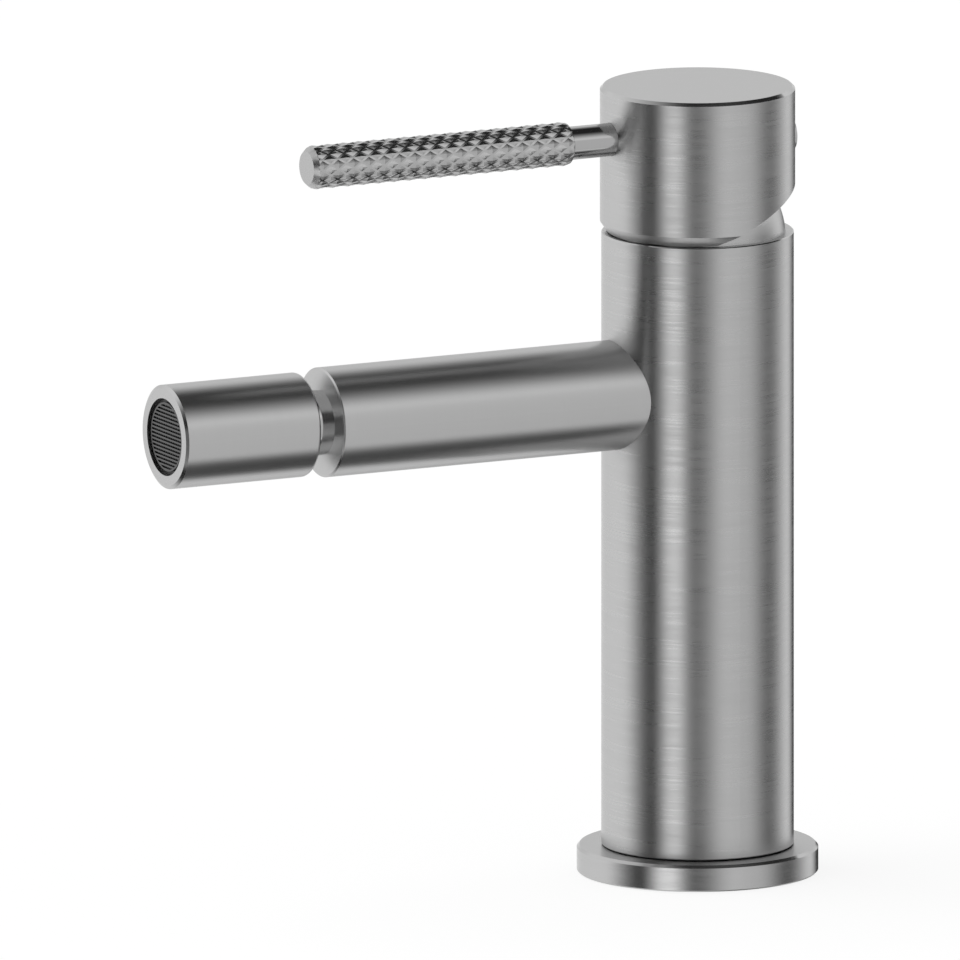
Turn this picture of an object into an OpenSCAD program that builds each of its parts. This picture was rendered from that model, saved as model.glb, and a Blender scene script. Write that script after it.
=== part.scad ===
/* [Base] */
// Diameter of the round foot flange
base_d = 52.7; // [48:0.1:70]
// Thickness of the foot flange
base_h = 5.8; // [5:0.1:10]
// Chamfer round the flange's top edge
base_edge = 0.6; // [0.2:0.1:1]
// Chamfer round the flange's bottom edge
foot_edge = 0.3; // [0.1:0.1:0.8]
// Height of the shadow gap between flange and column
shadow_gap = 0.2; // [0.2:0.1:1]
// Depth of the shadow gap behind the column's face
shadow_depth = 1.2; // [0.3:0.1:2]
// Diameter of the spigot that centres the flange
spigot_d = 33.6; // [30:0.1:34]
// Inner diameter of the deck gasket
gasket_in_d = 38; // [36:0.5:40]
// Outer diameter of the deck gasket
gasket_out_d = 46; // [44:0.5:47]
// Thickness of the deck gasket
gasket_h = 2; // [1:0.1:3]

/* [Column] */
// Diameter of the column
body_d = 42; // [41:0.1:48]
// Wall of the column
shell_wall = 3; // [2.4:0.1:3.6]
// Height of the column's rim above the deck
body_top = 141.9; // [115:0.1:220]
// Chamfer on both ends of the column
body_edge = 0.2; // [0.1:0.1:0.6]
// Height of the inlet block inside the column
plug_h = 20; // [18:0.5:30]

/* [Inlets] */
// Hole diameter of the hose threads, M10 by 1
inlet_d = 9; // [8.8:0.1:9.2]
// Depth of the hose threads
inlet_depth = 14; // [10:0.5:15]
// Sideways distance of each hose thread from the axis
inlet_x = 8; // [7.5:0.1:9]
// Distance of the hose threads in front of the axis
inlet_y = 5; // [4:0.1:6]
// Hole diameter of the stud thread, M8
stud_d = 6.8; // [6.6:0.1:7]
// Depth of the stud thread
stud_depth = 16; // [12:0.5:20]
// Distance of the stud thread behind the axis
stud_y = 10.5; // [9.5:0.1:12]
// Outer diameter of the copper pipes
pipe_d = 8; // [7:0.1:8.4]
// Wall of the copper pipes
pipe_wall = 1; // [0.6:0.1:1.4]
// Depth of the sockets that hold the pipes
pipe_socket = 8; // [6:0.5:9]

/* [Cartridge] */
// Radial room round the cartridge
cartridge_gap = 0.5; // [0.3:0.1:0.8]
// Wall of the cartridge housing
housing_wall = 3; // [2.6:0.1:3.4]
// Thickness of the housing's roof
roof_h = 1.5; // [1:0.1:2]
// Thickness of the cartridge's port plate
port_plate_h = 4; // [3.6:0.1:6]
// Thickness of the port plate's rim under the housing
port_rim_h = 2; // [1.5:0.1:2.6]
// Diameter of the two pegs that key the cartridge
peg_d = 2.8; // [2.4:0.1:3.2]
// Length of the pegs below the port plate
peg_l = 2.2; // [1.5:0.1:3]
// Sideways distance of the pegs inside the cartridge's edge
peg_inset = 4.3; // [4:0.1:5]
// Distance of the pegs behind the axis
peg_y = 6; // [5:0.1:7]
// Thickness of each ceramic disc
disc_h = 3; // [2.5:0.1:4]
// Distance of the moving disc's edge inside the cartridge's edge
disc_inset = 6.5; // [6:0.1:7]
// Diameter of the mixing pocket under the moving disc
pocket_d = 12.8; // [11:0.1:14]
// Distance of the mixing pocket behind the moving disc's centre
pocket_y = 1.5; // [1:0.1:2]
// Depth of the mixing pocket
pocket_depth = 1.8; // [1.2:0.1:2]
// Thickness of the carrier on the moving disc
carrier_h = 4; // [3.6:0.1:5]
// Diameter of the carrier
carrier_d = 19; // [17:0.1:21]
// Floor under the carrier's slot
carrier_floor = 0.7; // [0.5:0.1:0.9]
// Diameter of the two inlet ports
port_d = 4; // [3.4:0.1:4.4]
// Sideways distance of the inlet ports from the axis
port_x = 5.5; // [5:0.1:6]
// Distance of the inlet ports in front of the axis
port_y = 3.5; // [3:0.1:4]
// Diameter of the outlet port
outlet_d = 5.2; // [4.4:0.1:5.4]
// Distance of the outlet port behind the axis
outlet_y = 5.5; // [5:0.1:6]
// Width of the rubber rings round the ports
seal_w = 1.4; // [1:0.1:1.6]
// Thickness of the rubber rings round the ports
seal_h = 1.1; // [0.8:0.1:1.3]
// Depth of the lever's pivot below the column's rim
pivot_sink = 1.7; // [1:0.1:2.5]
// Height of the pivot above the housing's roof
pivot_rise = 5.2; // [4.9:0.1:6.5]
// Diameter of the pivot pin
pin_d = 3; // [2.5:0.1:3.4]
// Diameter of the rotor's ears
rotor_d = 21.6; // [20:0.1:22]
// Thickness of the rotor's flange
rotor_flange_h = 2.6; // [2:0.1:4]
// Width of the cartridge stem's square
stem_w = 7; // [6:0.1:7.4]
// Length of the stem above the pivot
stem_h = 28.8; // [26:0.1:30]
// Width of the stem's hub on the pivot pin
hub_w = 8; // [7:0.1:9]
// Diameter of the stem's hub on the pivot pin
hub_d = 8.4; // [7:0.1:9]
// Thickness of the stem's lower arm
arm_t = 2.6; // [2:0.1:2.8]
// Diameter of the round tip on that arm
tip_d = 3.6; // [3.4:0.1:4]
// Width of the stem's lower arm
arm_w = 6; // [5:0.1:6.6]
// Depth of the arm's tip below the carrier's top
tip_depth = 1.2; // [1:0.1:1.4]
// Height of the clamp nut's thread
nut_h = 4.2; // [3:0.1:5]
// Height of the clamp nut's collar
collar_h = 4; // [3:0.1:5]
// Diameter of the clamp nut's collar
collar_d = 31.6; // [30:0.1:32]
// Width of the clamp nut's key notches
notch_w = 3; // [2:0.1:4]
// Depth of the clamp nut's key notches
notch_h = 2; // [1:0.1:3]
// Outer diameter of the housing's neck
neck_out_d = 25.2; // [24.6:0.1:26]
// Height of the housing's neck above its roof
neck_h = 6.7; // [5:0.1:7.5]

/* [Handle] */
// How far the handle head stands out past the column
cap_overhang = 0.3; // [0:0.1:0.6]
// Height of the handle head
cap_h = 31.9; // [29:0.1:45]
// Gap between column and handle head
cap_gap = 0.3; // [0.3:0.1:1.5]
// Wall of the handle head's skirt
cap_wall = 1.7; // [1.5:0.1:2]
// Chamfer round the handle head's top edge
cap_edge = 0.7; // [0.3:0.1:1.2]
// Width of the chamfer round the handle head's foot
foot_chamfer_w = 1.4; // [0.5:0.1:1.4]
// Height of the chamfer round the handle head's foot
foot_chamfer_h = 2.05; // [0.5:0.05:2.5]
// Slope of the cut under the handle head's rear
cut_angle = 23.6; // [23:0.1:30]
// Height of that cut at the axis, above the head's foot
cut_rise = 2; // [1:0.05:3]
// Largest lift of the lever
lift_max = 23; // [15:0.5:24]
// Radial room between handle head and bonnet
dome_gap = 0.34; // [0.25:0.01:0.5]
// Wall of the bonnet
dome_wall = 2; // [1.5:0.1:2.4]
// Height of the bonnet's top above the pivot
dome_h = 12.8; // [11:0.1:13.2]
// Diameter of the set screw, M4
screw_d = 4; // [3:0.1:4.4]
// Length of the set screw
screw_l = 8; // [5:0.5:10]
// Wall between the set screw and the handle head's cavity
screw_wall = 1.3; // [1:0.1:1.8]
// Width across the flats of the set screw's hexagon
key_w = 2; // [1.5:0.1:2.2]
// Depth of the set screw's hexagon
key_depth = 2; // [1.5:0.1:3]
// Diameter of the index button
button_d = 8; // [6:0.1:9]
// How far the index button stands out of the handle head
button_proud = 1.3; // [0.3:0.1:1.6]
// Depth of the index button's seat below the head's round face
button_seat = 1.3; // [1.2:0.1:1.4]
// Radius of the index button's crown
button_crown = 30; // [12:0.5:60]

/* [Lever] */
// Depth of the lever's axis below the handle head's top
lever_drop = 10.22; // [8:0.02:10.5]
// Diameter of the plain rod
rod_d = 7.3; // [6.8:0.1:8]
// Diameter of the rod's thread in the handle head, M6
rod_thread_d = 6; // [5:0.1:6.2]
// Depth of the seat that takes the full rod
rod_seat = 2.6; // [1.5:0.1:4]
// Length of the rod's thread in the handle head
rod_thread_l = 12; // [8:0.5:13]
// Reach from the axis to the knurled grip
grip_start = 31.8; // [26:0.1:60]
// Length of the knurled grip
grip_l = 63.27; // [40:0.01:120]
// Diameter over the knurl's points
grip_d = 9.66; // [9.4:0.01:12]
// Diameter of the grip's end face
grip_end_d = 7.28; // [6:0.02:8]
// Length of the chamfer on the grip's free end
grip_edge = 1.1; // [0.6:0.1:2]
// Diameter of the grip's face against the rod
grip_back_d = 8.4; // [8:0.1:9]
// Length of the chamfer on the grip's face against the rod
grip_back_edge = 0.6; // [0.3:0.1:1.2]
// Diameter of the smooth shoulders at the knurl's ends
shoulder_d = 9.2; // [9:0.05:9.3]
// Depth of the knurl
knurl_depth = 0.55; // [0.2:0.05:0.7]
// Knurl points round the grip
knurl_count = 12; // [8:1:20]
// Length of one knurl point along the grip
knurl_pitch = 3.73; // [2:0.01:6]
// Diameter of the tang inside the grip
tang_d = 5.2; // [4:0.1:5.8]
// Length of the tang inside the grip
tang_l = 45; // [20:1:60]

/* [Spout] */
// Drop from the column's rim to the spout's axis
spout_drop = 34.8; // [33.5:0.1:60]
// Diameter of the spout
spout_d = 24.08; // [22:0.02:28]
// Reach from the axis to the spout's end face
spout_reach = 91.7; // [70:0.1:150]
// Wall of the spout
spout_wall = 1.6; // [1.2:0.1:2.2]
// Thickness of the spout's end wall
end_wall = 6; // [4:0.1:10]
// Length of the chamfer round the spout's end face
spout_edge = 0.25; // [0.2:0.05:0.8]
// Width of that chamfer across the end face
spout_edge_w = 0.45; // [0.2:0.05:0.8]
// Diameter of the nipple's spigot
nipple_d = 14; // [12:0.1:15]
// Bore of the nipple
nipple_bore_d = 8; // [6:0.1:9]
// Length of the nipple's spigot inside the seat block
nipple_in = 5; // [4:0.1:5.5]
// Depth of the spout socket in the seat block
socket_depth = 7; // [6:0.1:7.5]
// Length of the nipple's head inside the spout
nipple_head = 12; // [8:0.5:20]
// Thickness of the spout's O-ring
spout_seal_t = 1.4; // [1:0.1:1.8]
// Depth of the seat block below the spout's axis
seat_below = 14; // [13:0.5:20]
// Diameter of the cross drilling that feeds the spout
feed_d = 6.4; // [5:0.1:6.6]
// How far that drilling runs past the outlet port's axis
feed_past = 1.2; // [0.5:0.1:2]
// Metal left above the seat block's inlet drillings
drill_roof = 2; // [1.5:0.1:4]

/* [Nozzle] */
// Gap between the spout's end face and the nozzle
nozzle_gap = 5.2; // [4.8:0.1:8]
// Length of the nozzle
nozzle_l = 32.75; // [31:0.05:45]
// Diameter of the nozzle
nozzle_d = 22.88; // [22:0.02:26]
// Rounding of the nozzle's back edge
nozzle_round = 0.8; // [0.3:0.1:1]
// Length of the chamfer round the nozzle's front edge
nozzle_edge = 0.45; // [0.3:0.05:1]
// Width of that chamfer across the front face
nozzle_edge_w = 0.75; // [0.3:0.05:1]
// Diameter of the nozzle's mouth
mouth_d = 17.06; // [16.9:0.02:18]
// Largest tilt of the nozzle
tilt_max = 15; // [5:0.5:16]
// Diameter of the plain neck at the spout
neck_d = 14.2; // [13:0.1:14.4]
// Diameter of the plain neck at the nozzle
neck_front_d = 14.7; // [13:0.1:14.8]
// Length of the plain neck in front of the spout
neck_l = 3.5; // [2:0.1:3.6]
// Diameter of the stem's thread in the spout's end wall
stem_thread_d = 12; // [10:0.1:13]
// Diameter of the shank behind the ball
shank_d = 10.8; // [9.5:0.1:11]
// Bore of the swivel stem
stem_bore_d = 7; // [5:0.1:7.4]
// Diameter of the ball
ball_d = 16.6; // [16.2:0.02:16.64]
// Distance of the ball's centre inside the nozzle's back end
ball_inset = 7; // [6.8:0.1:7.5]
// Length of the ball in front of its centre
ball_front = 7; // [6:0.1:7.2]
// Diameter of the lip behind the ball
lip_d = 15; // [14.8:0.02:15.2]
// Diameter of the flare at the nozzle's back end
flare_d = 19.7; // [19.5:0.1:20.2]
// Half width of the seal room at the ball's middle
seal_room = 2.9; // [2.8:0.05:3]
// Thickness of the ball's O-ring
ball_seal_t = 1.44; // [1.2:0.02:1.5]
// Length of the ball seat
ball_seat_l = 5.7; // [5:0.1:7]
// Bore of the ball seat
ball_seat_bore = 9.6; // [8.6:0.1:10]
// Length of the seat retainer
retainer_l = 3; // [2:0.1:4]
// Bore of the seat retainer
retainer_bore = 10.4; // [9:0.1:12]

/* [Aerator] */
// Diameter of the net
net_d = 15.2; // [14.6:0.1:16.2]
// Depth of the net behind the nozzle's front face
net_recess = 0.5; // [0.3:0.1:2]
// Thickness of the net
net_t = 0.8; // [0.5:0.1:1.2]
// Pitch of the net's square openings
net_pitch = 0.85; // [0.7:0.05:2]
// Width of the net's front bars
net_bar = 0.38; // [0.2:0.02:0.6]
// Width of the bars that cross behind them
net_cross = 0.3; // [0.2:0.02:0.5]
// Width of the net's solid rim
net_rim = 0.4; // [0.3:0.1:1]
// Turn of the net about the nozzle's axis
net_turn = 0; // [0:1:45]
// Thickness of the aerator's rubber washer
washer_t = 1.5; // [1:0.1:2]
// Bore of the rubber washer
washer_bore = 12; // [10:0.1:13]
// Wall of the aerator's cage
cage_wall = 1.2; // [0.8:0.1:2]
// Thickness of the cage's jet plate
jet_plate = 1.6; // [1:0.1:2.4]
// Number of jets
jet_count = 10; // [6:1:14]
// Diameter of each jet
jet_d = 1.6; // [1:0.1:2]
// Radius of the circle of jets
jet_ring_r = 4.4; // [4:0.1:4.8]

/* [Clearances] */
// Radial room of pieces that are screwed, pressed or brazed together
fit = 0.03; // [0.02:0.01:0.05]
// Room of pieces that turn or tilt on each other
run = 0.05; // [0.03:0.01:0.08]
// Room between the lapped ceramic discs
lap = 0.02; // [0.01:0.01:0.03]
// Room of loosely guided pieces
slack = 0.2; // [0.15:0.01:0.25]
// Room between pieces that must never meet
air = 0.3; // [0.3:0.05:0.5]

/* [Hidden] */
$fn = 96;
// Overshoot of cuts past the faces they go through
over = 1;
gunmetal = [0.56, 0.56, 0.56];
gunmetal_light = [0.66, 0.66, 0.66];
brass = [0.78, 0.63, 0.36];
copper = [0.72, 0.43, 0.28];
steel = [0.70, 0.71, 0.72];
rubber = [0.09, 0.09, 0.09];
white_plastic = [0.90, 0.90, 0.88];
grey_plastic = [0.42, 0.43, 0.44];
black_plastic = [0.07, 0.07, 0.07];
ceramic = [0.93, 0.92, 0.89];

base_r = base_d / 2;
body_r = body_d / 2;
body_foot = base_h + shadow_gap;
shell_bore_r = body_r - shell_wall;
plug_r = shell_bore_r - fit;
plug_top = body_foot + plug_h;
spigot_r = spigot_d / 2;
pipe_r = pipe_d / 2;

cartridge_d = 2 * (shell_bore_r - cartridge_gap);
moving_disc_d = cartridge_d - 2 * disc_inset;
pivot_z = body_top - pivot_sink;
roof_z = pivot_z - pivot_rise;
shoulder_z = roof_z + roof_h;
rotor_flange_top = roof_z - run;
rotor_flange_foot = rotor_flange_top - rotor_flange_h;
carrier_top = rotor_flange_foot - air;
moving_disc_top = carrier_top - carrier_h;
fixed_disc_top = moving_disc_top - disc_h - lap;
port_plate_top = fixed_disc_top - disc_h;
seat_z = port_plate_top - port_plate_h;
housing_bore_r = cartridge_d / 2 - housing_wall;
ear_bore_r = rotor_d / 2 + run;
rotor_flange_r = housing_bore_r - slack;
stem_arm = pivot_z - carrier_top + tip_depth;
disc_travel = stem_arm * sin(lift_max);
disc_start = disc_travel / 2;
window_front = stem_arm * tan(lift_max) + tip_d;
window_back = tip_d / 2 + air;
slot_w = hub_w + 2 * slack;
peg_r = peg_d / 2;
peg_x = cartridge_d / 2 - peg_inset;
inlet_ports = [[-port_x, -port_y], [port_x, -port_y]];
outlet_port = [0, outlet_y];

spout_z = body_top - spout_drop;
spout_r = spout_d / 2;
spout_bore_r = spout_r - spout_wall;
seat_foot = spout_z - seat_below;
pipe_foot = plug_top - pipe_socket;
pipe_top = seat_foot + pipe_socket;
nipple_r = nipple_d / 2;
nipple_back = shell_bore_r - nipple_in;
socket_floor = shell_bore_r - socket_depth;
nipple_step = body_r + 2 * slack;
spout_seal_r = nipple_r - spout_seal_t / 2;
spout_seal_at = shell_bore_r - nipple_in / 2;

cap_r = body_r + cap_overhang;
cap_foot = body_top + cap_gap;
cap_top = cap_foot + cap_h;
cavity_r = cap_r - cap_wall;
dome_r = cavity_r - dome_gap;
dome_bore_r = dome_r - dome_wall;
dome_rim_r = sqrt(pow(dome_r, 2) - pow(dome_h, 2));
dome_rim_angle = atan2(dome_rim_r, dome_h);
cavity_top = pivot_z + dome_r * cos(max(0, dome_rim_angle - lift_max)) + 2 * air;
collar_r = collar_d / 2;
collar_top = shoulder_z + nut_h + collar_h;
screw_z = cavity_top + screw_wall + screw_d / 2;
stem_top = pivot_z + stem_h;
screw_back = stem_w / 2 + screw_l;
button_front = cap_r - button_seat;

lever_z = cap_top - lever_drop;
grip_r = grip_d / 2;
grip_end = grip_start + grip_l;
rod_step = cap_r - rod_seat;
knurl_start = grip_start + grip_back_edge;
knurl_l = grip_l - grip_edge - grip_back_edge;
knurl_rows = round(2 * knurl_l / knurl_pitch);
knurl_step = knurl_l / knurl_rows;
knurl_sides = 2 * knurl_count;

nozzle_r = nozzle_d / 2;
nozzle_back = spout_reach + nozzle_gap;
nozzle_front = nozzle_back + nozzle_l;
ball_r = ball_d / 2;
ball_at = nozzle_back + ball_inset;
mouth_r = mouth_d / 2;
seat_sphere_r = ball_r + run;
lip_r = lip_d / 2;
lip_at = ball_at - sqrt(pow(seat_sphere_r, 2) - pow(lip_r, 2));
ball_seal_r = mouth_r - run - ball_seal_t / 2;
seat_front = ball_at + seal_room + ball_seat_l;
retainer_front = seat_front + retainer_l;
washer_front = retainer_front + washer_t;
net_back = nozzle_front - net_recess - net_t;
insert_r = mouth_r - fit;
net_r = net_d / 2;
net_reach = floor(net_r / net_pitch);

// Places children at a reach in front of the axis, with their +Z pointing forward
module forward(reach, height) {
    translate([0, -reach, height]) rotate([90, 0, 0]) children();
}

// Places children at a reach behind the axis, with their +Z pointing back
module backward(reach, height) {
    translate([0, reach, height]) rotate([-90, 0, 0]) children();
}

// Plain ring with flat ends
module ring(r_out, r_in, h) {
    difference() {
        cylinder(r = r_out, h = h);
        translate([0, 0, -over]) cylinder(r = r_in, h = h + 2 * over);
    }
}

// Solid turned from a profile of radius and height
module turned(profile) {
    rotate_extrude() polygon(profile);
}

// Round O-ring, its middle circle in the XY plane
module o_ring(r, thickness) {
    rotate_extrude() translate([r, 0]) circle(d = thickness, $fn = 48);
}

// Holes of one diameter at each place of a list, from one height up to another
module holes(places, d, from, to) {
    for (place = places) translate([place.x, place.y, from]) cylinder(d = d, h = to - from);
}

// Rubber rings round the three ports of the cartridge, standing on a height
module port_rings(from) {
    translate([0, 0, from]) {
        for (place = inlet_ports)
            translate([place.x, place.y, 0]) ring(port_d / 2 + seal_w - fit, port_d / 2, seal_h);
        translate([outlet_port.x, outlet_port.y, 0])
            ring(outlet_d / 2 + seal_w - fit, outlet_d / 2, seal_h);
    }
}

// Recesses for the rubber rings
module port_recesses(from, depth) {
    holes(inlet_ports, port_d + 2 * seal_w, from, from + depth);
    holes([outlet_port], outlet_d + 2 * seal_w, from, from + depth);
}

// The three ports
module ports(from, to) {
    holes(inlet_ports, port_d, from, to);
    holes([outlet_port], outlet_d, from, to);
}

module base_flange() {
    color(gunmetal)
    difference() {
        turned([
            [spigot_r + fit, 0],
            [base_r - foot_edge, 0],
            [base_r, foot_edge],
            [base_r, base_h - base_edge],
            [base_r - base_edge, base_h],
            [spigot_r + fit, base_h]
        ]);
        translate([0, 0, -over]) ring(gasket_out_d / 2, gasket_in_d / 2, gasket_h + over);
    }
}

module base_gasket() {
    color(rubber) ring(gasket_out_d / 2 - fit, gasket_in_d / 2 + fit, gasket_h);
}

module inlet_block() {
    color(brass)
    difference() {
        union() {
            cylinder(r = spigot_r, h = body_foot);
            translate([0, 0, base_h]) cylinder(r = body_r - shadow_depth, h = shadow_gap);
            translate([0, 0, body_foot]) cylinder(r = plug_r, h = plug_h);
        }
        for (side = [-1, 1]) translate([side * inlet_x, -inlet_y, 0]) {
            translate([0, 0, -over]) cylinder(d = inlet_d, h = inlet_depth + over);
            cylinder(d = pipe_d - 2 * pipe_wall, h = plug_top);
            translate([0, 0, pipe_foot]) cylinder(d = pipe_d + 2 * fit, h = pipe_socket + over);
        }
        translate([0, stud_y, -over]) cylinder(d = stud_d, h = stud_depth + over);
    }
}

module body_shell() {
    color(gunmetal)
    difference() {
        turned([
            [shell_bore_r, body_foot],
            [body_r - body_edge, body_foot],
            [body_r, body_foot + body_edge],
            [body_r, body_top - body_edge],
            [body_r - body_edge, body_top],
            [shell_bore_r, body_top]
        ]);
        forward(0, spout_z) cylinder(r = nipple_r + slack, h = body_r + over);
    }
}

module pipe(side) {
    color(copper)
    translate([side * inlet_x, -inlet_y, pipe_foot])
        ring(pipe_r, pipe_r - pipe_wall, pipe_top - pipe_foot);
}

module seat_block() {
    color(brass)
    difference() {
        translate([0, 0, seat_foot]) cylinder(r = plug_r, h = seat_z - seat_foot);
        for (side = [-1, 1]) translate([side * inlet_x, -inlet_y, 0]) {
            translate([0, 0, seat_foot - over]) cylinder(r = pipe_r + fit, h = pipe_socket + over);
            translate([0, 0, seat_foot])
                cylinder(r = pipe_r - pipe_wall, h = seat_z - seat_foot - drill_roof);
        }
        holes(inlet_ports, port_d, seat_z - drill_roof - port_d, seat_z + over);
        holes([outlet_port], outlet_d, spout_z, seat_z + over);
        forward(-outlet_y - feed_past, spout_z)
            cylinder(d = feed_d, h = outlet_y + feed_past + shell_bore_r);
        forward(socket_floor, spout_z) cylinder(r = nipple_r + fit, h = socket_depth + over);
        for (side = [-1, 1]) translate([side * peg_x, peg_y, seat_z - peg_l - slack])
            cylinder(r = peg_r + fit, h = peg_l + slack + over);
    }
}

module spout_nipple() {
    color(brass)
    difference() {
        union() {
            forward(nipple_back, spout_z) cylinder(r = nipple_r, h = nipple_step - nipple_back);
            forward(nipple_step, spout_z) cylinder(r = spout_bore_r - fit, h = nipple_head);
        }
        forward(0, spout_z) cylinder(d = nipple_bore_d, h = nipple_step + nipple_head + over);
        forward(spout_seal_at - spout_seal_t / 2 - fit, spout_z)
            ring(nipple_r + over, nipple_r - spout_seal_t - fit, spout_seal_t + 2 * fit);
    }
}

module spout_seal() {
    color(rubber) forward(spout_seal_at, spout_z) o_ring(spout_seal_r, spout_seal_t);
}

module spout_tube() {
    color(gunmetal)
    difference() {
        forward(0, spout_z) turned([
            [0, 0],
            [spout_r, 0],
            [spout_r, spout_reach - spout_edge],
            [spout_r - spout_edge_w, spout_reach],
            [0, spout_reach]
        ]);
        forward(0, spout_z) cylinder(r = spout_bore_r, h = spout_reach - end_wall);
        forward(0, spout_z) cylinder(r = stem_thread_d / 2 + fit, h = spout_reach + over);
        cylinder(r = body_r + fit, h = body_top);
    }
}

module swivel_stem() {
    shank_r = shank_d / 2;
    color(gunmetal_light)
    difference() {
        union() {
            forward(0, spout_z) turned([
                [0, spout_reach - end_wall],
                [stem_thread_d / 2, spout_reach - end_wall],
                [stem_thread_d / 2, spout_reach],
                [neck_d / 2, spout_reach],
                [neck_front_d / 2, spout_reach + neck_l],
                [shank_r, lip_at],
                [shank_r, ball_at],
                [0, ball_at]
            ]);
            intersection() {
                translate([0, -ball_at, spout_z]) sphere(r = ball_r);
                forward(nozzle_back, spout_z) cylinder(r = mouth_r, h = ball_inset + ball_front);
            }
        }
        forward(0, spout_z) cylinder(d = stem_bore_d, h = nozzle_front);
        forward(ball_at - ball_seal_t / 2 - run, spout_z)
            ring(mouth_r, ball_seal_r - ball_seal_t / 2 - run, ball_seal_t + 2 * run);
    }
}

module port_seals() {
    color(rubber) port_rings(seat_z);
}

module cartridge_base() {
    color(white_plastic)
    difference() {
        union() {
            translate([0, 0, seat_z]) cylinder(d = cartridge_d, h = port_rim_h);
            translate([0, 0, seat_z]) cylinder(r = housing_bore_r - fit, h = port_plate_h);
            for (side = [-1, 1]) translate([side * peg_x, peg_y, seat_z - peg_l])
                cylinder(r = peg_r, h = peg_l + port_rim_h);
        }
        ports(seat_z - over, port_plate_top + over);
        port_recesses(seat_z - over, seal_h + over);
        port_recesses(port_plate_top - seal_h, seal_h + over);
    }
}

module disc_seals() {
    color(rubber) port_rings(port_plate_top - seal_h);
}

module fixed_disc() {
    color(ceramic)
    difference() {
        translate([0, 0, port_plate_top]) cylinder(r = housing_bore_r - fit, h = disc_h);
        ports(port_plate_top - over, fixed_disc_top + over);
    }
}

module cartridge_housing() {
    color(grey_plastic)
    turned([
        [housing_bore_r, seat_z + port_rim_h],
        [cartridge_d / 2, seat_z + port_rim_h],
        [cartridge_d / 2, shoulder_z],
        [neck_out_d / 2, shoulder_z],
        [neck_out_d / 2, shoulder_z + neck_h],
        [ear_bore_r, shoulder_z + neck_h],
        [ear_bore_r, roof_z],
        [housing_bore_r, roof_z]
    ]);
}

module clamp_nut() {
    nut_bore_r = neck_out_d / 2 + air;
    color(brass)
    difference() {
        turned([
            [nut_bore_r, shoulder_z],
            [plug_r, shoulder_z],
            [plug_r, shoulder_z + nut_h],
            [collar_r, shoulder_z + nut_h],
            [collar_r, collar_top],
            [nut_bore_r, collar_top]
        ]);
        for (turn = [0, 90]) translate([0, 0, collar_top]) rotate([0, 0, turn])
            cube([cartridge_d, notch_w, 2 * notch_h], center = true);
    }
}

module bonnet() {
    land_top = collar_top + air;
    color(gunmetal)
    difference() {
        intersection() {
            translate([0, 0, pivot_z]) sphere(r = dome_r);
            translate([0, 0, body_top]) cylinder(r = dome_r + over, h = dome_h - pivot_sink);
        }
        translate([0, 0, body_top - over]) cylinder(r = collar_r + fit, h = land_top - body_top + 2 * over);
        intersection() {
            translate([0, 0, pivot_z]) sphere(r = dome_bore_r);
            translate([0, 0, land_top]) cylinder(r = dome_r, h = dome_h + over);
        }
    }
}

module cartridge_rotor() {
    ear_top = pivot_z + hub_d / 2;
    color(white_plastic)
    difference() {
        union() {
            translate([0, 0, rotor_flange_foot]) cylinder(r = rotor_flange_r, h = rotor_flange_h);
            translate([0, 0, rotor_flange_foot]) cylinder(d = rotor_d, h = ear_top - rotor_flange_foot);
        }
        translate([-slot_w / 2, -rotor_flange_r, rotor_flange_top])
            cube([slot_w, 2 * rotor_flange_r, ear_top - rotor_flange_top + over]);
        translate([-slot_w / 2, -window_front, rotor_flange_foot - over])
            cube([slot_w, window_front + window_back, rotor_flange_h + 2 * over]);
        translate([-rotor_d, 0, pivot_z]) rotate([0, 90, 0]) cylinder(r = pin_d / 2 + fit, h = 2 * rotor_d);
    }
}

module pivot_pin() {
    pin_l = rotor_d - 4 * slack;
    color(steel)
    translate([-pin_l / 2, 0, pivot_z]) rotate([0, 90, 0]) cylinder(d = pin_d, h = pin_l);
}

module moving_disc() {
    color(ceramic)
    translate([0, disc_start, moving_disc_top - disc_h])
    difference() {
        cylinder(d = moving_disc_d, h = disc_h);
        translate([0, pocket_y, -over]) cylinder(d = pocket_d, h = pocket_depth + over);
    }
}

module disc_carrier() {
    slot_t = tip_d + 2 * slack;
    color(grey_plastic)
    difference() {
        translate([0, disc_start, moving_disc_top]) cylinder(d = carrier_d, h = carrier_h);
        translate([-arm_w / 2 - slack, -slot_t / 2, moving_disc_top + carrier_floor])
            cube([arm_w + 2 * slack, slot_t, carrier_h]);
    }
}

module cartridge_stem() {
    tip_z = carrier_top - tip_depth;
    color(brass)
    difference() {
        union() {
            translate([-stem_w / 2, -stem_w / 2, pivot_z]) cube([stem_w, stem_w, stem_h]);
            translate([-hub_w / 2, 0, pivot_z]) rotate([0, 90, 0]) cylinder(d = hub_d, h = hub_w);
            translate([-arm_w / 2, -arm_t / 2, tip_z]) cube([arm_w, arm_t, stem_arm]);
            translate([-arm_w / 2, 0, tip_z]) rotate([0, 90, 0]) cylinder(d = tip_d, h = arm_w);
        }
        translate([-hub_w, 0, pivot_z]) rotate([0, 90, 0]) cylinder(r = pin_d / 2 + run, h = 2 * hub_w);
    }
}

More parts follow.
